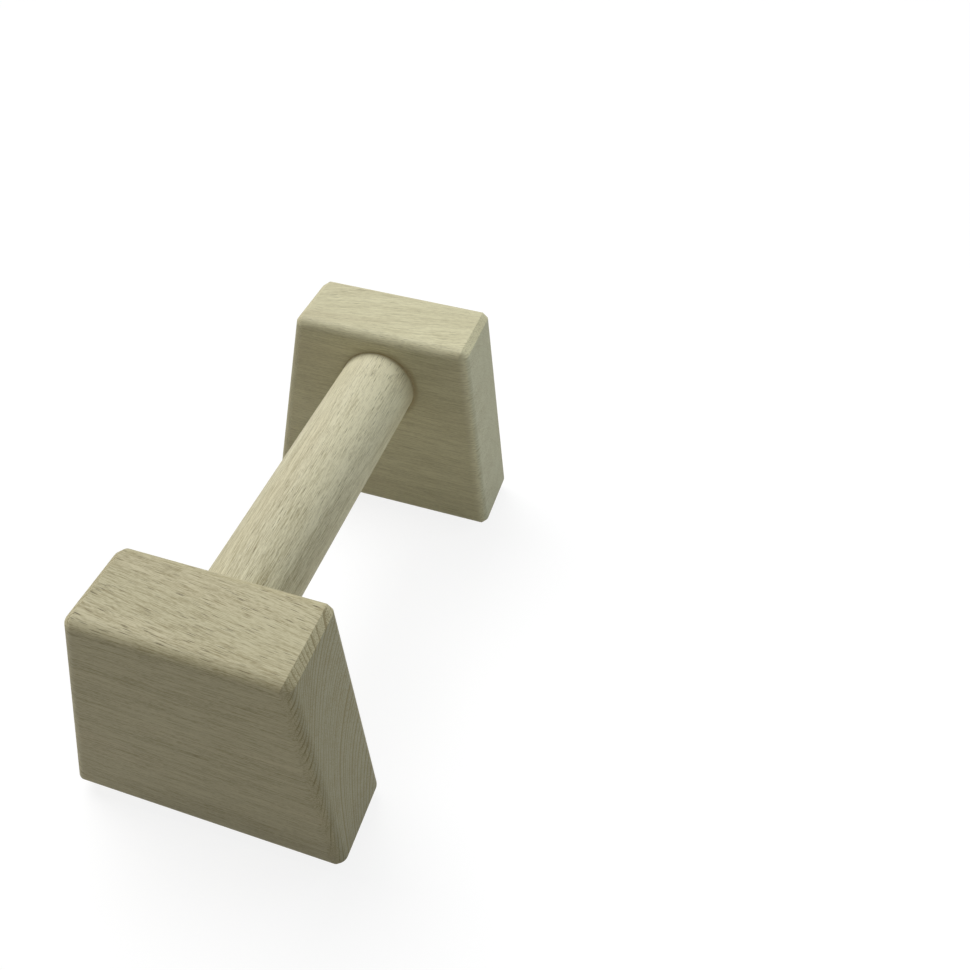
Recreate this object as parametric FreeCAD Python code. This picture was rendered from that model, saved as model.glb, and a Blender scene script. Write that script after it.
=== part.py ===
import FreeCAD
import Part
import math
import os

# A low wooden parallette bar: a round dowel glued into two trapezoid end blocks,
# each block standing on two stick-on rubber feet with a basket-weave tread.
# Millimetres. X runs along the dowel, Z is up, the origin is on the floor
# at the middle of the bar.

# End blocks
overall_length = 228.0
block_height = 102.0
block_thickness = 39.5
base_width = 113.5
top_width = 82.5
corner_chamfer = 2.5
face_roundover = 5.0

# Grip bar and the glued sockets it sits in
bar_diameter = 35.0
bar_axis_above_base = 75.4
bar_end_chamfer = 1.2
socket_depth = 25.0
socket_clearance = 0.3
socket_mouth_ease = 0.3
glue_recess = 0.1

# Rubber feet and the adhesive discs that hold them
foot_diameter = 23.0
foot_thickness = 3.9
foot_end_inset = 19.25
tape_thickness = 0.3
tape_inset = 0.4

# Basket weave moulded into the underside of each foot: pits that lie
# alternately along and across, parted by thin ridges
weave_pitch = 3.65
weave_pit_length = 3.9
weave_pit_width = 2.3
weave_depth = 0.5
weave_edge_land = 0.35
weave_turn_degrees = 29.0

half_length = overall_length / 2
base_z = foot_thickness + tape_thickness
bar_axis_z = base_z + bar_axis_above_base
bar_radius = bar_diameter / 2
socket_radius = bar_radius + socket_clearance
socket_face_x = half_length - block_thickness
socket_end_x = socket_face_x + socket_depth
bar_end_x = socket_end_x - socket_clearance
block_centre_x = half_length - block_thickness / 2
foot_offset = base_width / 2 - foot_end_inset
foot_radius = foot_diameter / 2
tape_radius = foot_radius - tape_inset

along_x = FreeCAD.Vector(1, 0, 0)
upward = FreeCAD.Vector(0, 0, 1)


def chamfered_outline():
    """Corner points (y, z) of the trapezoid, anticlockwise, each corner cut by its chamfer."""
    top_z = base_z + block_height
    corners = [
        FreeCAD.Vector(0, -base_width / 2, base_z),
        FreeCAD.Vector(0, base_width / 2, base_z),
        FreeCAD.Vector(0, top_width / 2, top_z),
        FreeCAD.Vector(0, -top_width / 2, top_z),
    ]
    points = []
    for index, corner in enumerate(corners):
        for neighbour in (corners[index - 1], corners[(index + 1) % len(corners)]):
            step = (neighbour - corner).normalize()
            points.append(corner + step * corner_chamfer)
    return points


def rounded_slab(start, end):
    """Board whose side lies on the outline from start to end, its two long edges rounded over."""
    course = (end - start).normalize()
    outward = course.cross(along_x)
    reach = base_width + block_height
    half = block_thickness / 2
    bend = face_roundover * (1 - math.cos(math.pi / 4))
    origin = start - course * reach

    def point(inset, side):
        return origin - outward * inset + along_x * side

    def quarter(sign):
        """Quarter round from the face on one side to the outline."""
        on_face = point(face_roundover, sign * half)
        between = point(bend, sign * (half - bend))
        on_outline = point(0, sign * (half - face_roundover))
        return Part.Arc(on_face, between, on_outline)

    near = quarter(-1)
    far = quarter(1)
    near_back = point(reach, -half)
    far_back = point(reach, half)
    section = Part.Wire([
        Part.makeLine(near_back, near.StartPoint),
        near.toShape(),
        Part.makeLine(near.EndPoint, far.EndPoint),
        far.toShape(),
        Part.makeLine(far.StartPoint, far_back),
        Part.makeLine(far_back, near_back),
    ])
    return Part.Face(section).extrude(end - start + course * reach * 2)


def socket_space():
    """Blind hole for the right-hand end of the dowel, its mouth eased by a small cone."""
    mouth_centre = FreeCAD.Vector(socket_face_x, 0, bar_axis_z)
    mouth_radius = socket_radius + socket_mouth_ease
    hole = Part.makeCylinder(socket_radius, socket_depth, mouth_centre, along_x)
    mouth = Part.makeCone(mouth_radius, socket_radius, socket_mouth_ease, mouth_centre, along_x)
    return hole.fuse(mouth).removeSplitter()


def right_block():
    """Trapezoid block: what all the rounded slabs around its outline have in common, less the socket."""
    outline = chamfered_outline()
    body = None
    for index, start in enumerate(outline):
        slab = rounded_slab(start, outline[(index + 1) % len(outline)])
        body = slab if body is None else body.common(slab)
    body = body.removeSplitter()
    body.translate(along_x * block_centre_x)
    return body.cut(socket_space())


def grip_bar():
    """Plain dowel with a lead-in chamfer at each end."""
    start = FreeCAD.Vector(-bar_end_x, 0, bar_axis_z)
    dowel = Part.makeCylinder(bar_radius, bar_end_x * 2, start, along_x)
    rims = [edge for edge in dowel.Edges if isinstance(edge.Curve, Part.Circle)]
    return dowel.makeChamfer(bar_end_chamfer, rims)


def right_glue(bar):
    """Cured glue that fills the socket round the dowel, shrunk back a little at the mouth."""
    mouth_centre = FreeCAD.Vector(socket_face_x, 0, bar_axis_z)
    shrunk = Part.makeCylinder(bar_diameter, glue_recess, mouth_centre, along_x)
    return socket_space().cut(shrunk).cut(bar)


def weave_pits():
    """Pits of the basket weave around the foot's axis, the ones that only graze its rim left out."""
    reach = math.ceil(foot_radius / weave_pitch) + 1
    half_length_of_pit = weave_pit_length / 2
    half_width_of_pit = weave_pit_width / 2
    pits = []
    for row in range(-reach, reach):
        for column in range(-reach, reach):
            lies_along = (row + column) % 2 == 0
            half_x = half_length_of_pit if lies_along else half_width_of_pit
            half_y = half_width_of_pit if lies_along else half_length_of_pit
            centre_x = (2 * column + 1) * weave_pitch / 2
            centre_y = (2 * row + 1) * weave_pitch / 2
            nearest = math.hypot(abs(centre_x) - half_x, abs(centre_y) - half_y)
            if nearest > foot_radius - weave_edge_land:
                continue
            corner = FreeCAD.Vector(centre_x - half_x, centre_y - half_y, 0)
            pits.append(Part.makeBox(half_x * 2, half_y * 2, weave_depth, corner))
    return Part.makeCompound(pits)


def rubber_foot():
    """Round rubber pad standing on the floor at the origin, the weave cut into its underside."""
    pad = Part.makeCylinder(foot_radius, foot_thickness)
    foot = pad.cut(weave_pits())
    foot.rotate(FreeCAD.Vector(), upward, weave_turn_degrees)
    return foot


def adhesive_disc():
    """Thin adhesive disc between foot and block."""
    return Part.makeCylinder(tape_radius, tape_thickness, FreeCAD.Vector(0, 0, foot_thickness))


def turned_round(shape):
    """Copy of a right-hand piece turned half round the upright axis to serve at the left."""
    copy = shape.copy()
    copy.rotate(FreeCAD.Vector(), upward, 180)
    return copy


def placed(shape, x, y):
    """Copy of a piece moved across the floor."""
    copy = shape.copy()
    copy.translate(FreeCAD.Vector(x, y, 0))
    return copy


def all_pieces():
    """Every node name with its shape."""
    bar = grip_bar()
    block = right_block()
    glue = right_glue(bar)
    foot = rubber_foot()
    tape = adhesive_disc()
    pieces = {
        "grip_bar": bar,
        "block_left": turned_round(block),
        "block_right": block,
        "glue_left": turned_round(glue),
        "glue_right": glue,
    }
    for side, x in (("left", -block_centre_x), ("right", block_centre_x)):
        for place, y in (("front", -foot_offset), ("rear", foot_offset)):
            pieces["foot_" + side + "_" + place] = placed(foot, x, y)
            pieces["tape_" + side + "_" + place] = placed(tape, x, y)
    return pieces


os.makedirs("parts", exist_ok=True)
for node, shape in all_pieces().items():
    shape.exportStep("parts/" + node + ".step")
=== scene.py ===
import math
from collections import namedtuple

import bpy
import numpy as np
from bpy.props import FloatProperty, FloatVectorProperty, PointerProperty
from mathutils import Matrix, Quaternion, Vector


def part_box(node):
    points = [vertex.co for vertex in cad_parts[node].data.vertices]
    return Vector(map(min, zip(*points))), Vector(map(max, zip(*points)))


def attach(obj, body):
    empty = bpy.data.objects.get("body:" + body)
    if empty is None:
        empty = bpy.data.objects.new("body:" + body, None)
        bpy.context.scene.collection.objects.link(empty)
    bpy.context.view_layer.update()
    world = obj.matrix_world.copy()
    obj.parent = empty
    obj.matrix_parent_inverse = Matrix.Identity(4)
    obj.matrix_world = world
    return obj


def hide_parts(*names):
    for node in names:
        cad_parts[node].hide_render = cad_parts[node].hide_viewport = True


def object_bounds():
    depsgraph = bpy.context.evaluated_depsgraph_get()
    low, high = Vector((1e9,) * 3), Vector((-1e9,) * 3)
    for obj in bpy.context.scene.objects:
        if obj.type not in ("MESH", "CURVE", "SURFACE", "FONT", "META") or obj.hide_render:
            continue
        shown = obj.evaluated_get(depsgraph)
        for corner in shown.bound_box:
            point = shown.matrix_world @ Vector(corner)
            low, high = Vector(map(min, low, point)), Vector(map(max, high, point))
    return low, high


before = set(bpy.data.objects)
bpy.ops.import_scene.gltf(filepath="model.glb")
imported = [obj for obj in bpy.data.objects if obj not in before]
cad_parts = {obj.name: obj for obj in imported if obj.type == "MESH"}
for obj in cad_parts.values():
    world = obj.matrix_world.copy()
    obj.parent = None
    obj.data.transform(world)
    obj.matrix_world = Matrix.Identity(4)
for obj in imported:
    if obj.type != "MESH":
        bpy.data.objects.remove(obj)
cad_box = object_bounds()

bl_info = {
    "name": "Parallette bar",
    "version": (1, 0, 0),
    "blender": (4, 5, 0),
    "location": "3D View > Sidebar > Parallette",
    "description": "Dresses the packed CAD frame of a low wooden parallette bar",
    "category": "Object",
}

FOOT_PLACES = ("left_front", "left_rear", "right_front", "right_rear")
BLOCK_SIDES = (("left", -1), ("right", 1))
MILLIMETRES_PER_METRE = 1000.0
FULL_TURN = 2 * math.pi

# Shares at which rings and columns of points are set, close together where a flat side meets a curve
ARC_SHARES = np.linspace(0, 1, 5)
FACET_SHARES = np.array([0.05, 0.2, 0.4, 0.6, 0.8, 0.95])
SIDE_SHARES = np.concatenate([[0.008], np.linspace(0, 1, 41)[1:-1], [0.992]])
FACE_SHARES = np.array([0.1, 0.3, 0.5, 0.7, 0.85, 0.95, 0.99])
WALL_SHARES = np.array([0.02, 0.3, 0.7, 0.98, 1.0])
FLOOR_SHARES = np.array([0.1, 0.5, 0.98])
BAR_END_SHARES = np.array([0.3, 0.7, 0.97])
BAR_CHAMFER_SHARES = np.array([0.0, 0.06, 0.94, 1.0])
FOOT_TOP_SHARES = np.array([0.2, 0.6, 0.95])
FOOT_WALL_SHARES = np.array([0.1, 0.55, 0.97])
LARGEST_ARC_SHARE = 0.45

# How many points a curve has, and what keeps neighbouring points apart
ROUNDOVER_STEPS = 13
EASE_STEPS = 6
BAR_COLUMNS = 160
BAR_RINGS = 90
BAR_RING_MARGIN = 1.5
FOOT_COLUMNS = 360
TREAD_RINGS = 62
SMALLEST_CUT = 0.00008

# How the hand-sanded corners swell: the turn of a sine along a corner, and its start from side to side
WANDER_TURN = 5.0
WANDER_STEP = 1.7

# How each piece was cut from its board: the axes across, up and along its fibres, the heart of its growth
# rings across and up in millimetres, the slant of its fibres across and up, the way that its most flecked
# face looks, the shift of its noise, how strong its figure, its specks, its late wood and the lines of its
# years on end grain are, how rare its flecks are, and how much its figure fades with each millimetre along,
# which is painted light that makes the bar paler towards its brighter-lit +X end
Board = namedtuple("Board", "order heart slant flecked seed figure grit rings lines rare fade")
ALONG_X = (1, 2, 0)
ALONG_Y = (0, 2, 1)
BOARDS = {
    "bar": Board(ALONG_X, heart=(42.0, -10.0), slant=(0.03, -0.02), flecked=(-0.42, 0.91), seed=11.3,
                 figure=0.80, grit=1.1, rings=0.50, lines=1.0, rare=0.62, fade=0.0026),
    "left": Board(ALONG_Y, heart=(17.0, -11.0), slant=(0.15, 0.03), flecked=(0.0, 1.0), seed=3.7,
                  figure=1.0, grit=1.6, rings=1.0, lines=2.8, rare=0.45, fade=0.0),
    "right": Board(ALONG_Y, heart=(-61.0, -142.0), slant=(-0.25, 0.02), flecked=(0.0, 1.0), seed=8.9,
                   figure=0.55, grit=1.3, rings=0.09, lines=0.121, rare=0.62, fade=0.0),
}

# Where a change in the wood starts and ends: the cosine between a face and the fibres for end grain, its
# lines and its colour, or the flecked way for flecks, the part of a year, the distance from a fleck's middle,
# and the level of a noise
END_GRAIN = (0.30, 0.80)
END_LINES = (0.45, 0.90)
END_COLOUR = (0.65, 0.97)
FLECKED = (0.45, 0.95)
LATE_WOOD = (0.20, 0.93)
YEAR_LINE = (0.70, 0.92)
YEAR_ENDS = (0.94, 1.0)
FLECK_EDGE = (0.17, 0.36)
BLUSH = (0.48, 0.72)

# How much each part of the figure darkens the wood, what specks weigh on end grain, what end grain adds to
# late wood, and how dark the wood is with no figure
TONE_WEIGHT = 0.9
STREAK_WEIGHT = 0.4
FIBRE_WEIGHT = 2.4
END_GRIT_WEIGHT = 3.0
LATE_WEIGHT = 0.20
END_LATE_WEIGHT = 0.25
PLAIN_FIGURE = 0.20

# How strong the faintest year and the faintest long dash are, the flecks away from the flecked face, how rare
# and strong the short dashes are, and how far blush and end grain replace the early wood
FAINTEST_YEAR = 0.25
FAINTEST_DASH = 0.4
SIDE_FLECK = 0.2
TICK_RARE = 0.6
TICK_STRENGTH = 0.3
BLUSH_SHARE = 0.40
END_SHARE = 0.80

# How many years the drift shifts the rings, and how far one noise lies from another of the same size
DRIFT_YEARS = 3.0
UP_SHIFT = 7.0
BLUSH_SHIFT = 4.0

# What parts of the figure add to the wood's roughness, and their height in millimetres
FIBRE_ROUGHNESS = 0.20
FLECK_ROUGHNESS = -0.10
END_ROUGHNESS = 0.08
FIBRE_HEIGHT = 0.05
GRIT_HEIGHT = 0.04
FLECK_HEIGHT = -0.05
LINE_HEIGHT = -0.02

# Glue that has seeped into the wood, together with painted shade in the corner where the bar enters the
# block, in millimetres: the size and reach of its ragged edge, where it starts and ends round the bar's
# surface, at the inner face and towards the bar's -Y side, where the painted shade is darkest, and how much
# there is
SEEP_AND_SHADE_EDGE_SIZE = 5.0
SEEP_AND_SHADE_EDGE_REACH = 1.6
SEEP_AND_SHADE_ROUND_BAR = (-0.6, 2.4)
SEEP_AND_SHADE_AT_FACE = (-0.2, 1.2)
SEEP_AND_SHADE_SIDE = (-6.0, 15.0)
LEAST_SEEP_AND_SHADE = 0.15
SIDE_SEEP_AND_SHADE = 0.45

# Sizes in millimetres, levels and heights of the grain in rubber, adhesive and glue
RUBBER_GRAIN_SIZE = 1 / 6
RUBBER_CLOUD_SIZE = 3.0
RUBBER_RIDGE = (0.02, 0.30)
RUBBER_WORN = (0.35, 0.7)
RUBBER_SPECK = (0.6, 0.8)
RUBBER_WORN_SHARE = 0.7
RUBBER_SPECK_SHARE = 0.12
RUBBER_CLOUD_ROUGHNESS = 0.2
RUBBER_GRAIN_HEIGHT = 0.012
TAPE_MOTTLE_SIZE = 1.5
TAPE_MOTTLE_DEPTH = 0.25
TAPE_AIR = (0.4, 0.75)
TAPE_AIR_SHARE = 0.6
TAPE_ROUGHNESS = 0.35
TAPE_MOTTLE_HEIGHT = 0.01
GLUE_CLOUD_SIZE = 2.0
GLUE_CLOUD = (0.35, 0.7)
GLUE_ROUGHNESS = 0.3
GLUE_CLOUD_HEIGHT = 0.05
CLOUD_ROUGHNESS = 0.3

# Octaves of a noise, the level that it swings about, and the colour of a white surface
SOFT_DETAIL = 1.0
PLAIN_DETAIL = 2.0
FINE_DETAIL = 3.0
NOISE_MIDDLE = 0.5
WHITE = (1.0, 1.0, 1.0, 1.0)


# Settings that a user would change

def length(name, description, default):
    """A length in metres."""
    return FloatProperty(name=name, description=description, default=default, min=0.0, precision=5,
                         subtype="DISTANCE", unit="LENGTH")


def share(name, description, default):
    """A part of one."""
    return FloatProperty(name=name, description=description, default=default, min=0.0, max=1.0,
                         subtype="FACTOR")


def colour(name, description, default):
    """A linear colour."""
    return FloatVectorProperty(name=name, description=description, default=default, size=3, min=0.0,
                               max=1.0, subtype="COLOR")


def lump(name, description, width, length_along):
    """Width across and length along the fibres, in metres."""
    return FloatVectorProperty(name=name, description=description, default=(width, length_along), size=2,
                               min=0.0, precision=5, unit="LENGTH")


def angle(name, description, degrees):
    """An angle, kept in radians."""
    return FloatProperty(name=name, description=description, default=math.radians(degrees),
                         subtype="ANGLE", unit="ROTATION")


def power(name, description, default):
    """A lamp's power in watts."""
    return FloatProperty(name=name, description=description, default=default, min=0.0, unit="POWER")


def place(name, description, default):
    """A point in the frame, in metres."""
    return FloatVectorProperty(name=name, description=description, default=default, size=3,
                               subtype="TRANSLATION", unit="LENGTH")


class BlockShape(bpy.types.PropertyGroup):
    """Sizes of the two trapezoid end blocks that the frame's boxes don't give."""

    base_width: length("Base width", "Width of the trapezoid at its foot, before the corners are cut", 0.1135)
    top_width: length("Top width", "Width of the trapezoid at its top, before the corners are cut", 0.0825)
    corner_chamfer: length("Corner chamfer", "How far each corner is cut back along its sides", 0.0025)
    face_roundover: length("Face roundover", "Radius rounded over along the two faces", 0.005)
    edge_ease: length("Edge ease", "Radius of the edge between two neighbouring sides", 0.0002)
    chamfer_wander: length("Chamfer wander", "How much deeper a corner is sanded in places", 0.00012)
    mouth_ease: length("Socket mouth", "Radius eased round the mouth of the socket", 0.0003)
    glue_fillet: length("Glue fillet", "How far the glue creeps along the bar", 0.0003)
    socket_depth: length("Socket depth", "Depth of the blind hole for the bar", 0.025)
    socket_clearance: length("Socket clearance", "Room for glue between the bar and its socket", 0.0003)


class BarShape(bpy.types.PropertyGroup):
    """Sizes of the round grip bar that the frame's boxes don't give."""

    end_chamfer: length("End chamfer", "Chamfer at the hidden ends of the bar", 0.0012)


class FootShape(bpy.types.PropertyGroup):
    """Sizes of the rubber feet and the basket weave under them."""

    weave_pitch: length("Weave pitch", "Distance between neighbouring pits of the weave", 0.00365)
    pit_length: length("Pit length", "Long side of a pit", 0.0039)
    pit_width: length("Pit width", "Short side of a pit", 0.0023)
    pit_depth: length("Pit depth", "How deep the pits go", 0.0005)
    pit_corner: length("Pit corner", "Radius of a pit's corners", 0.0003)
    pit_slope: length("Pit slope", "Width of a pit's sloping wall", 0.00032)
    edge_land: length("Edge land", "Rim that pits have to reach past to be cut", 0.00035)
    weave_turn: angle("Weave turn", "Turn of the weave about the foot's axis", 29.0)
    rim_ease: length("Rim ease", "Radius of the foot's upper rim", 0.0003)


class WoodLook(bpy.types.PropertyGroup):
    """Colours and scales of the pale beech."""

    # The left block is darker and the right block paler partly in their boards' own tones and partly as
    # painted shade on the left and painted light on the right, where the light is stronger
    left_wood_and_shade: colour("Left wood", "Early wood of the left block", (0.542, 0.500, 0.321))
    right_wood_and_light: colour("Right wood", "Early wood of the right block", (0.708, 0.669, 0.444))
    bar_wood: colour("Bar wood", "Early wood of the bar", (0.712, 0.672, 0.471))
    late_wood: colour("Late wood", "Wood from the end of a year", (0.300, 0.255, 0.135))
    ray_fleck: colour("Ray fleck", "Dashes of the rays", (0.060, 0.041, 0.014))
    blush_tone: colour("Blush tone", "Slightly pinker stretches of the board", (0.610, 0.545, 0.360))
    # End grain is darker than side grain; its cooler, bluer cast is painted cool light
    end_tint_and_cool_light: colour("End tint", "End grain, as a part of the early wood", (0.742, 0.778, 0.860))
    # Glue stain round the sockets, darkened further as painted shade in the corner where the bar enters the
    # block
    glue_stain_and_shade: colour("Glue stain", "Glue soaked into the wood round the sockets", (0.420, 0.340, 0.170))
    year_width: length("Year width", "Mean distance between two growth rings", 0.0021)
    year_drift: length("Year drift", "Distance over which years grow wider or narrower", 0.009)
    sway: length("Sway", "How far the growth rings wander", 0.008)
    sway_size: lump("Sway size", "Size of the wandering", 0.055, 0.075)
    fleck_size: lump("Fleck size", "Spacing of the long ray dashes", 0.00030, 0.0090)
    tick_size: lump("Tick size", "Spacing of the short ray dashes", 0.00040, 0.0070)
    grit_size: lump("Grit size", "Size of the sanded specks", 0.00036, 0.0020)
    fibre_size: lump("Fibre size", "Size of the finest streaks", 0.00030, 0.0110)
    streak_size: lump("Streak size", "Size of the wider streaks", 0.0011, 0.0300)
    tone_size: lump("Tone size", "Size of the browner stretches", 0.0055, 0.1300)
    blush_size: lump("Blush size", "Size of the pinker stretches", 0.0170, 0.1000)
    roughness: share("Roughness", "Mean roughness of the sanded wood", 0.6)
    specular: share("Specular", "How strongly the sanded wood mirrors", 0.35)


class RubberLook(bpy.types.PropertyGroup):
    """Colours of the feet, their adhesive and the glue."""

    rubber: colour("Rubber", "Moulded rubber", (0.0065, 0.0095, 0.0100))
    scuff: colour("Scuff", "Greyer rubber on the worn ridges", (0.022, 0.027, 0.028))
    rubber_roughness: share("Rubber roughness", "Mean roughness of the rubber", 0.55)
    tape: colour("Tape", "Adhesive disc", (0.016, 0.017, 0.016))
    glue: colour("Glue", "Cured glue in the sockets", (0.470, 0.390, 0.210))


class StageLook(bpy.types.PropertyGroup):
    """Floor, light and camera."""

    floor_size: length("Floor size", "Side of the floor", 8.0)
    floor_gap: length("Floor gap", "How far the floor lies below the feet", 0.0002)
    floor_glow: share("Floor glow", "White that the camera sees before the lamps add theirs", 0.86)
    floor_shade: colour("Floor shade", "Floor colour that takes the shadow", (0.18, 0.18, 0.18))
    floor_bounce: colour("Floor bounce", "Floor colour that lights the object", (0.59, 0.57, 0.53))
    room: colour("Room", "Light that comes from all round", (0.14, 0.14, 0.14))
    key_strength: FloatProperty(name="Key strength", description="Wide, far light above and behind",
                                default=2.50, min=0.0)
    key_spread: angle("Key spread", "How wide the key light looks from the object", 40.0)
    key_place: place("Key place", "Where the key light comes from", (0.27, 0.43, 0.85))
    key_tint: colour("Key tint", "Colour of the key light", (1.0, 1.0, 1.0))
    panel_power: power("Panel power", "Cool panel at the right", 0.55)
    panel_width: length("Panel width", "Width of the panel", 0.28)
    panel_height: length("Panel height", "Height of the panel", 0.40)
    panel_place: place("Panel place", "Where the panel stands", (0.20, -0.40, 0.25))
    panel_tint: colour("Panel tint", "Colour of the panel's light", (0.85, 0.95, 1.0))
    camera_place: place("Camera place", "Where the camera stands", (-0.29235, -0.14019, 0.38203))
    camera_bearing: angle("Camera bearing", "Turn of the view from +Y towards +X", 72.959)
    camera_drop: angle("Camera drop", "How far the camera looks down", 39.367)
    camera_roll: angle("Camera roll", "Turn of the camera about its view", 1.953)
    camera_lens: FloatProperty(name="Camera lens", description="Focal length", default=39.352, unit="CAMERA")
    camera_sensor: FloatProperty(name="Camera sensor", description="Width of the sensor", default=36.0,
                                 unit="CAMERA")
    camera_clip: length("Camera clip", "Nearest distance that the camera sees", 0.01)
    camera_shift: FloatVectorProperty(name="Camera shift", description="Offset of the cropped photograph",
                                      default=(0.05239, -0.06935), size=2)


class ParalletteSettings(bpy.types.PropertyGroup):
    """All settings of the parallette bar."""

    block: PointerProperty(type=BlockShape)
    bar: PointerProperty(type=BarShape)
    foot: PointerProperty(type=FootShape)
    wood: PointerProperty(type=WoodLook)
    rubber: PointerProperty(type=RubberLook)
    stage: PointerProperty(type=StageLook)


# Meshes

def closed_skin(name, rings, first_pole, last_pole):
    """Mesh over rings of points, closed round each ring and at both ends.

    The rings are an array of ring by column by coordinate. Quads join each ring to the next, and a fan of
    triangles joins the first and the last ring to its pole.
    """
    count, around = rings.shape[:2]
    points = np.concatenate([rings.reshape(-1, 3), [first_pole], [last_pole]])
    here = np.arange(count * around).reshape(count, around)
    ahead = np.roll(here, -1, axis=1)
    quads = np.stack([here[:-1], here[1:], ahead[1:], ahead[:-1]], axis=-1).reshape(-1, 4)
    first = np.full(around, count * around)
    start_fan = np.stack([first, here[0], ahead[0]], axis=-1)
    end_fan = np.stack([first + 1, ahead[-1], here[-1]], axis=-1)
    faces = quads.tolist() + start_fan.tolist() + end_fan.tolist()
    mesh = bpy.data.meshes.new(name)
    mesh.from_pydata(points.tolist(), [], faces)
    mesh.polygons.foreach_set("use_smooth", np.ones(len(faces), dtype=bool))
    mesh.update()
    piece = bpy.data.objects.new(name, mesh)
    bpy.context.scene.collection.objects.link(piece)
    return piece


def quarter_round(radius, steps):
    """Inset and rise along a quarter round: radius times 1 - sin and 1 - cos of a quarter turn."""
    turn = np.linspace(0, math.pi / 2, steps)
    return radius * (1 - np.sin(turn)), radius * (1 - np.cos(turn))


def trapezoid_sides(shape, floor, top):
    """Outward normals and distances from the bar's axis of a block's eight sides.

    Each corner of the trapezoid is cut back along both its sides by the chamfer, which gives eight points in
    order. A side's normal is its direction turned outwards, and its distance is the normal's dot product
    with its first point. Heights count from the bar's axis.
    """
    half_base = shape.base_width / 2
    half_top = shape.top_width / 2
    corners = np.array([(-half_base, floor), (half_base, floor), (half_top, top), (-half_top, top)])
    back = np.roll(corners, 1, axis=0) - corners
    onward = np.roll(corners, -1, axis=0) - corners
    back /= np.linalg.norm(back, axis=1, keepdims=True)
    onward /= np.linalg.norm(onward, axis=1, keepdims=True)
    cuts = [corners + back * shape.corner_chamfer, corners + onward * shape.corner_chamfer]
    points = np.stack(cuts, axis=1).reshape(-1, 2)
    course = np.roll(points, -1, axis=0) - points
    normals = np.stack([course[:, 1], -course[:, 0]], axis=1)
    normals /= np.linalg.norm(normals, axis=1, keepdims=True)
    return normals, np.sum(normals * points, axis=1)


def side_meetings(normals, distances):
    """Points, ring by ring, where each side meets the one before it, solved from the two sides' equations."""
    before = np.roll(normals, 1, axis=0)
    past = np.roll(distances, 1, axis=1)
    cross = before[:, 0] * normals[:, 1] - before[:, 1] * normals[:, 0]
    across = (past * normals[:, 1] - distances * before[:, 1]) / cross
    up = (distances * before[:, 0] - past * normals[:, 0]) / cross
    return np.stack([across, up], axis=-1)


def eased_outline(normals, distances, ease):
    """Outline of a block, ring by ring: straight sides joined by small arcs.

    Where two neighbouring sides meet is solved from their normals and distances. An arc of the ease's
    radius, or less where a side is short, replaces each meeting: its centre lies back along both normals,
    and its points swing from one normal to the other. Points at set shares run along each side between its
    two arcs. Distances are an array of ring by side, and the result is ring by column by coordinate.
    """
    before = np.roll(normals, 1, axis=0)
    corners = side_meetings(normals, distances)
    lengths = np.linalg.norm(np.roll(corners, -1, axis=1) - corners, axis=-1)
    turn = np.arccos(np.sum(before * normals, axis=1))
    shortest = np.minimum(lengths, np.roll(lengths, 1, axis=1))
    radius = np.minimum(ease, LARGEST_ARC_SHARE * shortest / np.tan(turn / 2))
    back = (before + normals) / (1 + np.sum(before * normals, axis=1))[:, None]
    centres = corners - radius[:, :, None] * back
    swing = ARC_SHARES[:, None] * turn
    lead = (np.sin(turn - swing) / np.sin(turn))[:, :, None] * before
    follow = (np.sin(swing) / np.sin(turn))[:, :, None] * normals
    arcs = centres[:, None] + radius[:, None, :, None] * (lead + follow)
    starts = arcs[:, -1]
    ends = np.roll(arcs[:, 0], -1, axis=1)
    columns = []
    for side in range(len(normals)):
        shares = FACET_SHARES if side % 2 == 0 else SIDE_SHARES
        run = (ends - starts)[:, side, None] * shares[:, None]
        columns += [arcs[:, :, side], starts[:, side, None] + run]
    return np.concatenate(columns, axis=1)


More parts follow.
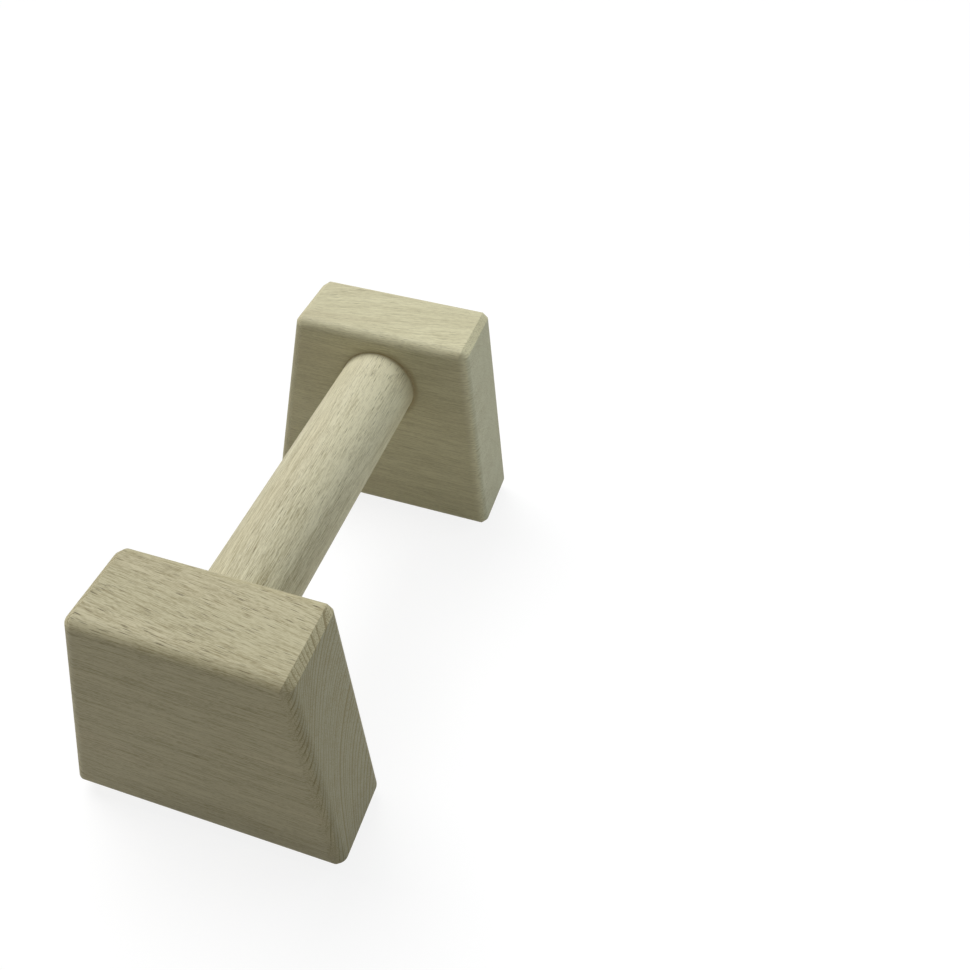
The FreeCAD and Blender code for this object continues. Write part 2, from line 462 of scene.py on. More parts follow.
def block_rings(shape, thickness, floor, top, bore):
    """Rings of a block from the middle of its outer face to the middle of its socket's floor.

    The outer face shrinks its outline to the bar's axis. Along the roundovers and the side the outline's
    sides move in by the quarter round's inset, until a corner's cut runs out between its neighbours. The
    inner face runs from its outline to the socket's mouth, and the socket is a quarter round, a wall and a
    floor, all along the same rays from the bar's axis.
    Returns the depth of each ring below the outer face, and its points across and up from the bar's axis.
    """
    normals, distances = trapezoid_sides(shape, floor, top)
    inset, rise = quarter_round(shape.face_roundover, ROUNDOVER_STEPS)
    middle = shape.face_roundover + (thickness - 2 * shape.face_roundover) * SIDE_SHARES
    depth = np.concatenate([rise, middle, thickness - rise[::-1]])
    insets = np.concatenate([inset, np.zeros(len(middle)), inset[::-1]])
    is_facet = np.arange(len(distances)) % 2 == 0
    swell = np.sin(depth[:, None] / thickness * WANDER_TURN + np.arange(len(distances)) * WANDER_STEP)
    sanded = np.where(is_facet, shape.chamfer_wander * (1 + swell) / 2, 0.0)
    sides = distances - insets[:, None] - sanded
    corners = side_meetings(normals[1::2], sides[:, 1::2])
    sides[:, ::2] = np.minimum(sides[:, ::2], np.sum(corners * normals[::2], axis=-1) - SMALLEST_CUT)
    outline = eased_outline(normals, sides, shape.edge_ease)
    rays = outline[-1] / np.linalg.norm(outline[-1], axis=-1, keepdims=True)
    mouth = rays * (bore + shape.mouth_ease)
    outer_face = outline[0] * FACE_SHARES[:, None, None]
    inner_face = mouth + (outline[-1] - mouth) * FACE_SHARES[::-1, None, None]
    mouth_inset, mouth_rise = quarter_round(shape.mouth_ease, EASE_STEPS)
    wall = shape.mouth_ease + (shape.socket_depth - shape.mouth_ease) * WALL_SHARES
    socket_floor = FLOOR_SHARES[::-1]
    reach = np.concatenate([bore + mouth_inset, np.full(len(wall), bore), bore * socket_floor])
    sink = np.concatenate([mouth_rise, wall, np.full(len(socket_floor), shape.socket_depth)])
    depths = np.concatenate([
        np.zeros(len(outer_face)),
        depth,
        np.full(len(inner_face), thickness),
        thickness - sink,
    ])
    return depths, np.concatenate([outer_face, outline, inner_face, reach[:, None, None] * rays])


def end_block(name, node, shape, side):
    """One end block in its place. Side is 1 at the right, and -1 for the same block turned half round."""
    low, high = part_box(node)
    axis_height, bar_radius = bar_sizes()
    bore = bar_radius + shape.socket_clearance
    depths, points = block_rings(shape, high.x - low.x, low.z - axis_height, high.z - axis_height, bore)
    outer = max(abs(low.x), abs(high.x))
    x = side * (outer - depths)[:, None] * np.ones(points.shape[1])
    rings = np.stack([x, side * points[..., 0], axis_height + points[..., 1]], axis=-1)
    first = (side * outer, 0.0, axis_height)
    last = (side * (outer - depths[-1]), 0.0, axis_height)
    return closed_skin(name, rings, first, last)


def bar_sizes():
    """Height of the bar's axis and the bar's radius, from the frame."""
    low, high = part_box("grip_bar")
    return (low.z + high.z) / 2, (high.z - low.z) / 2


def turned_about_bar(name, x, reach):
    """Surface of revolution about the bar's axis: each point of a profile in x and reach gives a circle.

    A negative reach starts its circle on the other side, for a profile that is turned half round.
    """
    axis_height = bar_sizes()[0]
    turn = np.linspace(0, FULL_TURN, BAR_COLUMNS, endpoint=False)
    y = reach[:, None] * np.cos(turn)
    z = axis_height + np.abs(reach)[:, None] * np.sin(turn)
    rings = np.stack([x[:, None] * np.ones(len(turn)), y, z], axis=-1)
    return closed_skin(name, rings, (x[0], 0.0, axis_height), (x[-1], 0.0, axis_height))


def glue_cup(name, block, bar, block_node, side):
    """Glue between bar and socket: a cup of revolution about the bar's axis.

    Its profile runs out along the socket's floor, up the wall and the eased mouth, back to the bar in a
    hollow fillet whose height grows with the square of the way across, and down along the bar to its end.
    """
    low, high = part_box(block_node)
    radius = bar_sizes()[1]
    bore = radius + block.socket_clearance
    bar_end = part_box("grip_bar")[1].x
    face = min(abs(low.x), abs(high.x))
    floor = face + block.socket_depth
    cut = bar.end_chamfer
    mouth_inset, mouth_rise = quarter_round(block.mouth_ease, EASE_STEPS)
    across = np.linspace(0, 1, EASE_STEPS)[1:]
    mouth = bore + block.mouth_ease
    reach = np.concatenate([
        bore * FLOOR_SHARES,
        [bore, bore],
        bore + mouth_inset[::-1],
        mouth + (radius - mouth) * across,
        [radius, radius, radius - cut],
        (radius - cut) * FLOOR_SHARES[::-1],
    ])
    x = np.concatenate([
        np.full(len(FLOOR_SHARES), floor),
        [floor, (floor + face) / 2],
        face + mouth_rise[::-1],
        face - block.glue_fillet * across ** 2,
        [(floor + face) / 2, bar_end - cut, bar_end],
        np.full(len(FLOOR_SHARES), bar_end),
    ])
    return turned_about_bar(name, side * x, side * reach)


def round_bar(name, shape):
    """The grip bar: circles of one radius along X, drawn in by the chamfer at both ends."""
    low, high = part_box("grip_bar")
    radius = bar_sizes()[1]
    cut = shape.end_chamfer
    end_reach = (radius - cut) * BAR_END_SHARES
    end_x = np.full(len(end_reach), high.x)
    chamfer_reach = radius - cut * BAR_CHAMFER_SHARES[::-1]
    chamfer_x = high.x - cut * BAR_CHAMFER_SHARES
    run = np.linspace(high.x, low.x, BAR_RINGS)
    run = run[np.abs(run) < high.x - cut * BAR_RING_MARGIN]
    x = np.concatenate([end_x, chamfer_x, run, -chamfer_x[::-1], -end_x])
    reach = np.concatenate([end_reach, chamfer_reach, np.full(len(run), radius),
                            chamfer_reach[::-1], end_reach[::-1]])
    return turned_about_bar(name, x, reach)


def weave_sink(x, y, radius, shape):
    """How far the pits of the basket weave sink in at points of a foot's underside.

    The points are turned into the weave's own axes and into cells of one pitch. Each cell holds a pit, a
    rectangle that lies along in every other cell and across in the rest, and a point's gap to a rectangle
    with rounded corners gives the depth through a smooth step over the slope. The deepest of the pits in
    and around a point's cell counts, and a pit that only grazes the rim is left out.
    """
    turn = shape.weave_turn
    u = x * math.cos(turn) + y * math.sin(turn)
    v = y * math.cos(turn) - x * math.sin(turn)
    sink = np.zeros_like(u)
    for row_step in (-1, 0, 1):
        for column_step in (-1, 0, 1):
            column = np.floor(u / shape.weave_pitch) + column_step
            row = np.floor(v / shape.weave_pitch) + row_step
            along = (row + column) % 2 == 0
            half_u = np.where(along, shape.pit_length, shape.pit_width) / 2
            half_v = np.where(along, shape.pit_width, shape.pit_length) / 2
            centre_u = (column + 0.5) * shape.weave_pitch
            centre_v = (row + 0.5) * shape.weave_pitch
            gap_u = np.maximum(np.abs(u - centre_u) - half_u + shape.pit_corner, 0)
            gap_v = np.maximum(np.abs(v - centre_v) - half_v + shape.pit_corner, 0)
            inside = (shape.pit_corner - np.hypot(gap_u, gap_v)) / shape.pit_slope
            step = np.clip(inside, 0, 1)
            nearest = np.hypot(np.abs(centre_u) - half_u, np.abs(centre_v) - half_v)
            reaches_in = nearest <= radius - shape.edge_land
            pit = shape.pit_depth * step * step * (3 - 2 * step)
            sink = np.maximum(sink, np.where(reaches_in, pit, 0.0))
    return sink


def treaded_foot(name, node, shape):
    """A round foot: a flat top, an eased rim, a wall, and an underside on rings with the weave sunk in."""
    low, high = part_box(node)
    centre_x = (low.x + high.x) / 2
    centre_y = (low.y + high.y) / 2
    radius = (high.x - low.x) / 2
    turn = np.linspace(0, FULL_TURN, FOOT_COLUMNS, endpoint=False)
    top_reach = FOOT_TOP_SHARES * (radius - shape.rim_ease)
    rim_inset, rim_drop = quarter_round(shape.rim_ease, EASE_STEPS)
    wall_reach = np.full(len(FOOT_WALL_SHARES), radius)
    tread_reach = np.linspace(radius, 0, TREAD_RINGS)[:-1]
    reach = np.concatenate([top_reach, radius - rim_inset, wall_reach, tread_reach])
    x = reach[:, None] * np.cos(turn)
    y = reach[:, None] * np.sin(turn)
    sink = weave_sink(x, y, radius, shape)
    wall_top = high.z - shape.rim_ease
    tread = (low.z + sink)[-len(tread_reach):]
    wall = wall_top + (tread[0] - wall_top) * FOOT_WALL_SHARES[:, None]
    rim = (high.z - rim_drop)[:, None] * np.ones(len(turn))
    top = np.full((len(top_reach), len(turn)), high.z)
    z = np.concatenate([top, rim, wall, tread])
    rings = np.stack([centre_x + x, centre_y + y, z], axis=-1)
    return closed_skin(name, rings, (centre_x, centre_y, high.z), (centre_x, centre_y, low.z))


# Shader maths

class Value:
    """A socket of a finish's node tree. Arithmetic on it adds Math nodes."""

    def __init__(self, finish, socket):
        self.finish = finish
        self.socket = socket

    def __add__(self, other):
        return self.finish.math("ADD", self, other)

    def __sub__(self, other):
        return self.finish.math("SUBTRACT", self, other)

    def __rsub__(self, other):
        return self.finish.math("SUBTRACT", other, self)

    def __mul__(self, other):
        return self.finish.math("MULTIPLY", self, other)

    def __truediv__(self, other):
        return self.finish.math("DIVIDE", self, other)

    def __rtruediv__(self, other):
        return self.finish.math("DIVIDE", other, self)

    def __pow__(self, other):
        return self.finish.math("POWER", self, other)

    def __abs__(self):
        return self.finish.math("ABSOLUTE", self)

    __radd__ = __add__
    __rmul__ = __mul__


class Finish:
    """The node tree of a new material or world."""

    def __init__(self, holder):
        self.holder = holder
        self.holder.use_nodes = True
        self.tree = self.holder.node_tree
        self.tree.nodes.clear()

    def node(self, kind, settings=None, sockets=None, output=0):
        """Adds any node: its settings first, then the values or links of its sockets, by name or number."""
        added = self.tree.nodes.new(kind)
        for name, setting in (settings or {}).items():
            setattr(added, name, setting)
        for name, given in (sockets or {}).items():
            found = self.socket(added.inputs, name)
            if isinstance(given, Value):
                self.tree.links.new(given.socket, found)
            else:
                found.default_value = given
        return Value(self, self.socket(added.outputs, output)) if len(added.outputs) else None

    @staticmethod
    def socket(sockets, name):
        """A socket by its number, its identifier or its name."""
        if isinstance(name, int):
            return sockets[name]
        by_identifier = {socket.identifier: socket for socket in sockets}
        return by_identifier[name] if name in by_identifier else sockets[name]

    def other(self, value, output):
        """Another output of the node that a value comes from."""
        return Value(self, value.socket.node.outputs[output])

    def math(self, operation, *values):
        """A Math node."""
        return self.node("ShaderNodeMath", {"operation": operation}, dict(enumerate(values)))

    def parts(self, vector):
        """The three numbers of a vector."""
        x = self.node("ShaderNodeSeparateXYZ", None, {"Vector": vector}, "X")
        return [x, self.other(x, "Y"), self.other(x, "Z")]

    def vector(self, x, y, z):
        """A vector from three numbers."""
        return self.node("ShaderNodeCombineXYZ", None, {"X": x, "Y": y, "Z": z})

    def noise(self, x, y, z, detail):
        """Smooth noise about one half, one unit to a lump."""
        sockets = {"Vector": self.vector(x, y, z), "Scale": 1.0, "Detail": detail}
        return self.node("ShaderNodeTexNoise", {"noise_dimensions": "3D"}, sockets, "Fac")

    def ramp(self, value, low, high):
        """Smooth step from 0 at low to 1 at high."""
        settings = {"interpolation_type": "SMOOTHSTEP"}
        return self.node("ShaderNodeMapRange", settings, {"Value": value, "From Min": low, "From Max": high})

    def blend(self, factor, first, second):
        """Colour that goes from the first to the second."""
        sockets = {"Factor_Float": factor, "A_Color": first, "B_Color": second}
        return self.node("ShaderNodeMix", {"data_type": "RGBA"}, sockets, "Result_Color")

    def bump(self, height):
        """Normal of a surface with a height in millimetres."""
        return self.node("ShaderNodeBump", None, {
            "Height": height,
            "Distance": 1 / MILLIMETRES_PER_METRE,
            "Strength": 1.0,
        })

    def close(self, sockets):
        """Ends the tree in one Principled surface and returns the material."""
        surface = self.node("ShaderNodeBsdfPrincipled", None, sockets)
        self.node("ShaderNodeOutputMaterial", None, {"Surface": surface})
        return self.holder


def opaque(linear):
    """A colour setting as the four numbers that a socket takes."""
    return (*linear, 1.0)


# Finishes

def millimetre_axes(finish):
    """The three object coordinates of a surface point, in millimetres."""
    position = finish.node("ShaderNodeTexCoord", None, None, "Object")
    return [axis * MILLIMETRES_PER_METRE for axis in finish.parts(position)]


class Grain:
    """The fibres of a board in a finish.

    Across, up and along are a point's place by the board's own axes, in millimetres. Fibres run along with a
    slight slant, which fades to nothing at the node's two sides across.
    """

    def __init__(self, finish, board, node):
        axes = millimetre_axes(finish)
        across, up, along = [axes[index] for index in board.order]
        low, high = [corner[board.order[0]] * MILLIMETRES_PER_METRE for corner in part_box(node)]
        off_middle = (across - (low + high) / 2) / ((high - low) / 2)
        self.finish = finish
        self.seed = board.seed
        self.across = across - along * (1 - off_middle * off_middle) * board.slant[0]
        self.up = up - along * board.slant[1]
        self.along = along

    def cells(self, size, shift=0.0):
        """Place in cells of a width across the fibres and a length along them."""
        width, along_length = [side * MILLIMETRES_PER_METRE for side in size]
        start = self.seed + shift
        return self.across / width + start, self.up / width - start, self.along / along_length + start

    def noise(self, size, detail, shift=0.0):
        """Noise about one half in lumps of that size."""
        return self.finish.noise(*self.cells(size, shift), detail)

    def swing(self, size, detail, shift=0.0):
        """Noise about zero in lumps of that size."""
        return self.noise(size, detail, shift) - NOISE_MIDDLE

    def spindles(self, size, rare):
        """Dark spindles in cells of that size, in fewer of them the rarer they are."""
        sockets = {"Vector": self.finish.vector(*self.cells(size)), "Scale": 1.0}
        cell = self.finish.node("ShaderNodeTexVoronoi", {"voronoi_dimensions": "3D"}, sockets, "Distance")
        chance = self.finish.parts(self.finish.other(cell, "Color"))[0]
        return (1 - self.finish.ramp(cell, *FLECK_EDGE)) * self.finish.ramp(chance, rare, 1.0)


def growth_rings(finish, look, board, grain):
    """How much a point is late wood, and how much it is the line that ends a year.

    A year is the fraction of the swaying distance from the heart over the year's width, which drifts. Late
    wood grows through the year and stops short at its end, and its last part is the line. Each year has a
    strength of its own.
    """
    sway = look.sway * MILLIMETRES_PER_METRE
    out_across = grain.across - board.heart[0] + grain.swing(look.sway_size, SOFT_DETAIL) * sway
    out_up = grain.up - board.heart[1] + grain.swing(look.sway_size, SOFT_DETAIL, UP_SHIFT) * sway
    radius = (out_across * out_across + out_up * out_up) ** 0.5
    drift = finish.noise(radius / (look.year_drift * MILLIMETRES_PER_METRE), board.seed, 0.0, SOFT_DETAIL)
    years = radius / (look.year_width * MILLIMETRES_PER_METRE) + drift * DRIFT_YEARS
    year = finish.math("FRACT", years)
    strength = finish.node("ShaderNodeTexWhiteNoise", {"noise_dimensions": "1D"},
                           {"W": finish.math("FLOOR", years)}, "Value")
    fall = (1 - finish.ramp(year, *YEAR_ENDS)) * (FAINTEST_YEAR + (1 - FAINTEST_YEAR) * strength)
    return finish.ramp(year, *LATE_WOOD) * fall, finish.ramp(year, *YEAR_LINE) * fall


def seeped_glue_and_shade(finish, seed, joint):
    """How much glue stain and painted shade a point of the wood holds.

    It falls with the distance from the bar's surface and from the block's inner face, with a ragged edge,
    and grows towards the bar's -Y side, where the painted shade of the corner is darkest. Joint gives the
    height of the bar's axis, the bar's radius and the distance of the blocks' inner faces from the middle,
    in millimetres.
    """
    axis_height, bar_radius, inner_face = joint
    x, y, z = millimetre_axes(finish)
    height = z - axis_height
    from_bar = (y * y + height * height) ** 0.5 - bar_radius
    edge = finish.noise(y / SEEP_AND_SHADE_EDGE_SIZE, z / SEEP_AND_SHADE_EDGE_SIZE, seed, PLAIN_DETAIL) * SEEP_AND_SHADE_EDGE_REACH
    near_bar = 1 - finish.ramp(from_bar - edge, *SEEP_AND_SHADE_ROUND_BAR)
    near_face = 1 - finish.ramp(abs(abs(x) - inner_face) - edge, *SEEP_AND_SHADE_AT_FACE)
    return near_bar * near_face * (LEAST_SEEP_AND_SHADE + SIDE_SEEP_AND_SHADE * finish.ramp(0 - y, *SEEP_AND_SHADE_SIDE))


def wood_finish(name, look, pale, board, node, joint):
    """Beech as a solid: growth rings, ray flecks, fibres and tone reach through the piece.

    Ray flecks are the middles of cells stretched along the fibres: spindles that the surface cuts into
    dashes, most on the flecked faces. Noise stretched along the fibres gives fine fibres, wider streaks and
    changes of tone. The sum of all that, the figure, blends the early wood into late wood.
    """
    finish = Finish(bpy.data.materials.new(name))
    grain = Grain(finish, board, node)
    normal = finish.parts(finish.node("ShaderNodeTexCoord", None, None, "Normal"))
    facing_across, facing_up, facing_along = [normal[index] for index in board.order]
    facing_along = abs(facing_along)
    end_face = finish.ramp(facing_along, *END_GRAIN)
    flecked = abs(facing_across * board.flecked[0] + facing_up * board.flecked[1])
    flecked = finish.ramp(flecked, *FLECKED)

    late, line = growth_rings(finish, look, board, grain)
    line = line * finish.ramp(facing_along, *END_LINES)
    dash = grain.spindles(look.fleck_size, board.rare)
    dash = dash * (FAINTEST_DASH + (1 - FAINTEST_DASH) * board.figure)
    tick = grain.spindles(look.tick_size, TICK_RARE) * (TICK_STRENGTH * board.figure)
    fleck = finish.math("MAXIMUM", dash, tick)
    fleck = fleck * (SIDE_FLECK + (1 - SIDE_FLECK) * flecked) * (1 - end_face)

    grit = grain.swing(look.grit_size, PLAIN_DETAIL)
    fibre = grain.swing(look.fibre_size, FINE_DETAIL)
    streak = grain.swing(look.streak_size, FINE_DETAIL)
    tone = grain.swing(look.tone_size, PLAIN_DETAIL)
    figure = tone * TONE_WEIGHT + streak * STREAK_WEIGHT + fibre * FIBRE_WEIGHT
    figure = (figure + grit * (board.grit + (END_GRIT_WEIGHT - board.grit) * end_face)) * board.figure
    figure = figure + late * (LATE_WEIGHT + END_LATE_WEIGHT * end_face) * board.rings + line * board.lines
    # Less figure further along +X: painted light, so the bar grows paler towards its brighter-lit end
    figure = finish.math("MAXIMUM", figure - grain.along * board.fade + PLAIN_FIGURE, 0.0)

    blush = finish.ramp(grain.noise(look.blush_size, PLAIN_DETAIL, BLUSH_SHIFT), *BLUSH)
    # End grain colour: darker as end grain is, and bluer as painted cool light
    end_grain_and_cool_light = [part * tint for part, tint in zip(pale, look.end_tint_and_cool_light)]
    early = finish.blend(blush * BLUSH_SHARE, opaque(pale), opaque(look.blush_tone))
    early = finish.blend(finish.ramp(facing_along, *END_COLOUR) * END_SHARE, early, opaque(end_grain_and_cool_light))
    wood = finish.blend(figure, early, opaque(look.late_wood))
    wood = finish.blend(fleck, wood, opaque(look.ray_fleck))
    # Glue stain round the socket plus painted shade in the corner, darkest on the bar's -Y side
    wood = finish.blend(seeped_glue_and_shade(finish, board.seed, joint), wood, opaque(look.glue_stain_and_shade))

    added_roughness = fibre * FIBRE_ROUGHNESS + fleck * FLECK_ROUGHNESS + end_face * END_ROUGHNESS
    relief = fibre * FIBRE_HEIGHT + grit * GRIT_HEIGHT + fleck * FLECK_HEIGHT + line * LINE_HEIGHT
    return finish.close({
        "Base Color": wood,
        "Roughness": look.roughness + added_roughness,
        "Specular IOR Level": look.specular,
        "Normal": finish.bump(relief),
    })


def rubber_finish(look):
    """Near-black rubber: fine moulded grain, and greyer scuffs where the ridges meet the floor."""
    finish = Finish(bpy.data.materials.new("moulded_rubber"))
    axes = millimetre_axes(finish)
    grain = finish.noise(*[axis / RUBBER_GRAIN_SIZE for axis in axes], FINE_DETAIL)
    cloud = finish.noise(*[axis / RUBBER_CLOUD_SIZE for axis in axes], PLAIN_DETAIL)
    ridge = 1 - finish.ramp(axes[2], *RUBBER_RIDGE)
    worn = ridge * finish.ramp(cloud, *RUBBER_WORN) * RUBBER_WORN_SHARE
    scuff = worn + finish.ramp(grain, *RUBBER_SPECK) * RUBBER_SPECK_SHARE
    return finish.close({
        "Base Color": finish.blend(scuff, opaque(look.rubber), opaque(look.scuff)),
        "Roughness": look.rubber_roughness + (cloud - NOISE_MIDDLE) * RUBBER_CLOUD_ROUGHNESS,
        "Normal": finish.bump(grain * RUBBER_GRAIN_HEIGHT),
    })


def tape_finish(look):
    """Adhesive disc: black film with a faint mottle of trapped air."""
    finish = Finish(bpy.data.materials.new("adhesive_film"))
    x, y, z = millimetre_axes(finish)
    mottle = finish.noise(x / TAPE_MOTTLE_SIZE, y / TAPE_MOTTLE_SIZE, z / TAPE_MOTTLE_DEPTH, FINE_DETAIL)
    air = finish.ramp(mottle, *TAPE_AIR) * TAPE_AIR_SHARE
    return finish.close({
        "Base Color": finish.blend(air, opaque(look.tape), opaque(look.scuff)),
        "Roughness": TAPE_ROUGHNESS + mottle * CLOUD_ROUGHNESS,
        "Normal": finish.bump(mottle * TAPE_MOTTLE_HEIGHT),
    })


def glue_finish(look, stain):
    """Cured glue: amber-brown, cloudy, with small ripples from when it ran."""
    finish = Finish(bpy.data.materials.new("cured_glue"))
    axes = millimetre_axes(finish)
    cloud = finish.noise(*[axis / GLUE_CLOUD_SIZE for axis in axes], FINE_DETAIL)
    return finish.close({
        "Base Color": finish.blend(finish.ramp(cloud, *GLUE_CLOUD), opaque(look.glue), opaque(stain)),
        "Roughness": GLUE_ROUGHNESS + cloud * CLOUD_ROUGHNESS,
        "Normal": finish.bump(cloud * GLUE_CLOUD_HEIGHT),
    })


def seen_directly(finish):
    """One for rays that show a surface itself, which are camera, mirror and glass rays, and else zero."""
    camera = finish.node("ShaderNodeLightPath", None, None, "Is Camera Ray")
    rays = camera + finish.other(camera, "Is Glossy Ray") + finish.other(camera, "Is Transmission Ray")
    return finish.math("MINIMUM", rays, 1.0)


def floor_finish(look):
    """Floor that is seen as white with a faint shadow, and that lights the object as a plain grey."""
    finish = Finish(bpy.data.materials.new("studio_floor"))
    glow = finish.node("ShaderNodeEmission", None, {"Color": WHITE, "Strength": look.floor_glow})
    shade = finish.node("ShaderNodeBsdfDiffuse", None, {"Color": opaque(look.floor_shade)})
    white = finish.node("ShaderNodeAddShader", None, {0: glow, 1: shade})
    bounce = finish.node("ShaderNodeBsdfDiffuse", None, {"Color": opaque(look.floor_bounce)})
    surface = finish.node("ShaderNodeMixShader", None, {0: seen_directly(finish), 1: bounce, 2: white})
    finish.node("ShaderNodeOutputMaterial", None, {"Surface": surface})
    return finish.holder


# Stage

def lit_room(look):
    """World that lights evenly from all round and is seen as white."""
    finish = Finish(bpy.data.worlds.new("studio_room"))
    room = finish.node("ShaderNodeBackground", None, {"Color": opaque(look.room)})
    white = finish.node("ShaderNodeBackground", None, {"Color": WHITE})
    surface = finish.node("ShaderNodeMixShader", None, {0: seen_directly(finish), 1: room, 2: white})
    finish.node("ShaderNodeOutputWorld", None, {"Surface": surface})
    bpy.context.scene.world = finish.holder


def hung_light(name, kind, place_at, target, settings):
    """Puts a new light in its place, turned to its target and out of the camera's sight."""
    light = bpy.data.lights.new(name, kind)
    for setting, given in settings.items():
        setattr(light, setting, given)
    holder = bpy.data.objects.new(name, light)
    holder.location = place_at
    holder.rotation_mode = "QUATERNION"
    holder.rotation_quaternion = (target - Vector(place_at)).to_track_quat("-Z", "Y")
    holder.visible_camera = False
    bpy.context.scene.collection.objects.link(holder)


def studio_floor(look):
    """Square floor just below the feet."""
    half = look.floor_size / 2
    below = -look.floor_gap
    corners = [(-half, -half, below), (half, -half, below), (half, half, below), (-half, half, below)]
    mesh = bpy.data.meshes.new("studio_floor")
    mesh.from_pydata(corners, [], [(0, 1, 2, 3)])
    mesh.materials.append(floor_finish(look))
    floor = bpy.data.objects.new("studio_floor", mesh)
    bpy.context.scene.collection.objects.link(floor)


def photo_camera(look):
    """Camera at the photograph's viewing angle."""
    bearing = look.camera_bearing
    drop = look.camera_drop
    level = math.cos(drop)
    view = Vector((math.sin(bearing) * level, math.cos(bearing) * level, -math.sin(drop)))
    roll = Quaternion((0.0, 0.0, 1.0), look.camera_roll)
    camera = bpy.data.cameras.new("photo_camera")
    camera.sensor_width = look.camera_sensor
    camera.lens = look.camera_lens
    camera.shift_x, camera.shift_y = look.camera_shift
    camera.clip_start = look.camera_clip
    holder = bpy.data.objects.new("photo_camera", camera)
    holder.location = look.camera_place
    holder.rotation_mode = "QUATERNION"
    holder.rotation_quaternion = view.to_track_quat("-Z", "Y") @ roll
    bpy.context.scene.collection.objects.link(holder)
    bpy.context.scene.camera = holder


def dress(piece, node, material):
    """Gives a new piece its finish, and lets it stand for its CAD node."""
    piece.data.materials.append(material)
    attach(piece, "root")
    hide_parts(node)


def refinish(node, material):
    """Gives a CAD node that stays a better finish."""
    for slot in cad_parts[node].material_slots:
        slot.material = material


def joint_in_millimetres():
    """Height of the bar's axis, the bar's radius and how far the blocks' inner faces are from the middle."""
    axis_height, bar_radius = bar_sizes()
    inner_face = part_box("block_right")[0].x
    return [size * MILLIMETRES_PER_METRE for size in (axis_height, bar_radius, inner_face)]


# Operators

class PARALLETTE_OT_bar(bpy.types.Operator):
    """Builds the round grip bar"""

    bl_idname = "parallette.bar"
    bl_label = "Grip bar"

    def execute(self, context):
        settings = context.scene.parallette
        look = settings.wood
        joint = joint_in_millimetres()
        bar = round_bar("bar_wood", settings.bar)
        finish = wood_finish("bar_beech", look, look.bar_wood, BOARDS["bar"], "grip_bar", joint)
        dress(bar, "grip_bar", finish)
        return {"FINISHED"}


class PARALLETTE_OT_blocks(bpy.types.Operator):
    """Builds the two trapezoid end blocks"""

    bl_idname = "parallette.blocks"
    bl_label = "End blocks"

    def execute(self, context):
        settings = context.scene.parallette
        look = settings.wood
        joint = joint_in_millimetres()
        for spot, side in BLOCK_SIDES:
            node = "block_" + spot
            block = end_block("block_wood_" + spot, node, settings.block, side)
            # Each block's colour holds its board's tone, plus painted shade on the left and painted light on
            # the right
            pale = look.left_wood_and_shade if spot == "left" else look.right_wood_and_light
            finish = wood_finish("block_beech_" + spot, look, pale, BOARDS[spot], node, joint)
            dress(block, node, finish)
        return {"FINISHED"}


class PARALLETTE_OT_feet(bpy.types.Operator):
    """Builds the four treaded rubber feet"""

    bl_idname = "parallette.feet"
    bl_label = "Rubber feet"

    def execute(self, context):
        settings = context.scene.parallette
        rubber = rubber_finish(settings.rubber)
        for spot in FOOT_PLACES:
            foot = treaded_foot("foot_rubber_" + spot, "foot_" + spot, settings.foot)
            dress(foot, "foot_" + spot, rubber)
        return {"FINISHED"}


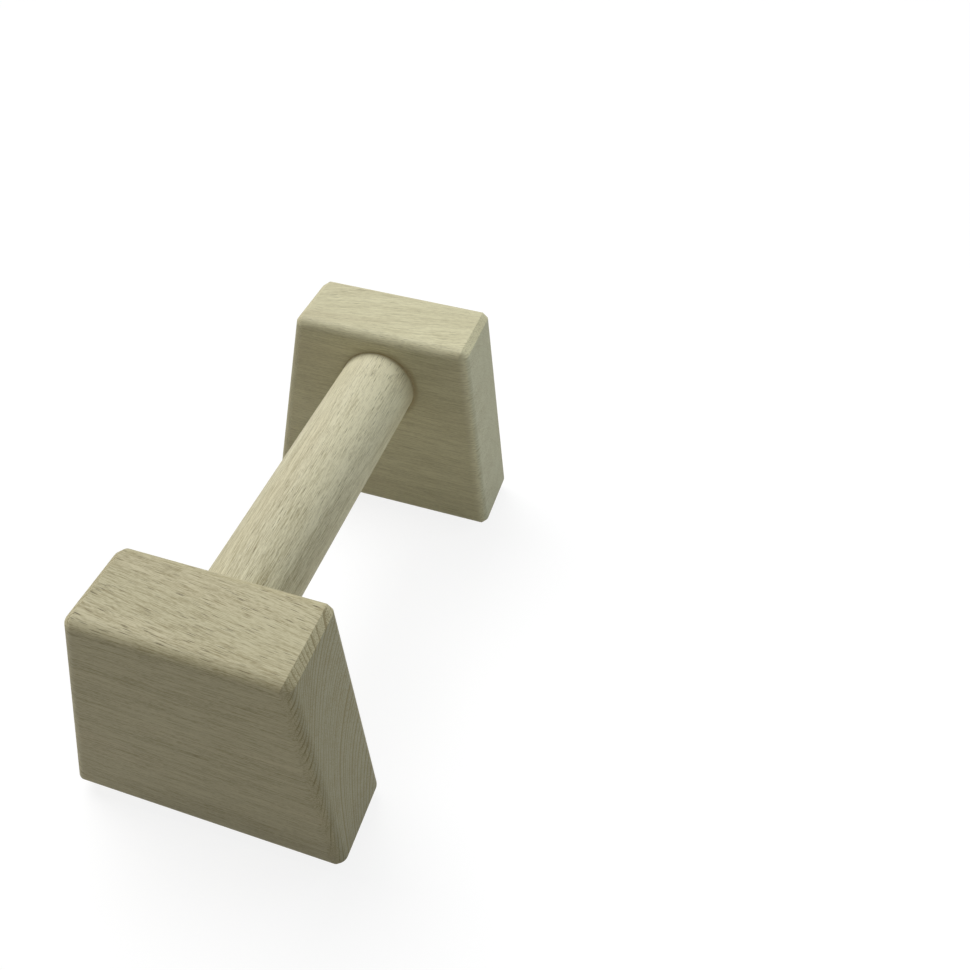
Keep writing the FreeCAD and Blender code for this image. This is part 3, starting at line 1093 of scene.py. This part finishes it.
class PARALLETTE_OT_bonds(bpy.types.Operator):
    """Builds the glue in the sockets and finishes the adhesive discs"""

    bl_idname = "parallette.bonds"
    bl_label = "Adhesive and glue"

    def execute(self, context):
        settings = context.scene.parallette
        tape = tape_finish(settings.rubber)
        for spot in FOOT_PLACES:
            refinish("tape_" + spot, tape)
        glue = glue_finish(settings.rubber, settings.wood.glue_stain_and_shade)
        for spot, side in BLOCK_SIDES:
            cup = glue_cup("glue_cup_" + spot, settings.block, settings.bar, "block_" + spot, side)
            dress(cup, "glue_" + spot, glue)
        return {"FINISHED"}


class PARALLETTE_OT_stage(bpy.types.Operator):
    """Sets up the floor, the light and the camera"""

    bl_idname = "parallette.stage"
    bl_label = "Stage"

    def execute(self, context):
        look = context.scene.parallette.stage
        middle = (cad_box[0] + cad_box[1]) / 2
        context.scene.view_settings.view_transform = "Standard"
        lit_room(look)
        hung_light("key_light", "SUN", look.key_place, middle, {
            "angle": look.key_spread,
            "energy": look.key_strength,
            "color": look.key_tint,
        })
        hung_light("panel_lamp", "AREA", look.panel_place, middle, {
            "shape": "RECTANGLE",
            "size": look.panel_width,
            "size_y": look.panel_height,
            "energy": look.panel_power,
            "color": look.panel_tint,
        })
        studio_floor(look)
        photo_camera(look)
        return {"FINISHED"}


class PARALLETTE_PT_sidebar(bpy.types.Panel):
    """Lists the steps that build the parallette bar"""

    bl_label = "Parallette bar"
    bl_idname = "PARALLETTE_PT_sidebar"
    bl_space_type = "VIEW_3D"
    bl_region_type = "UI"
    bl_category = "Parallette"

    def draw(self, context):
        for operator in OPERATORS:
            self.layout.operator(operator.bl_idname)


GROUPS = (BlockShape, BarShape, FootShape, WoodLook, RubberLook, StageLook, ParalletteSettings)
OPERATORS = (
    PARALLETTE_OT_bar,
    PARALLETTE_OT_blocks,
    PARALLETTE_OT_feet,
    PARALLETTE_OT_bonds,
    PARALLETTE_OT_stage,
)
CLASSES = GROUPS + OPERATORS + (PARALLETTE_PT_sidebar,)


def register():
    for each in CLASSES:
        bpy.utils.register_class(each)
    bpy.types.Scene.parallette = PointerProperty(type=ParalletteSettings)


def unregister():
    del bpy.types.Scene.parallette
    for each in reversed(CLASSES):
        bpy.utils.unregister_class(each)


def main():
    register()
    bpy.ops.parallette.bar()
    bpy.ops.parallette.blocks()
    bpy.ops.parallette.feet()
    bpy.ops.parallette.bonds()
    bpy.ops.parallette.stage()


if __name__ == "__main__":
    main()
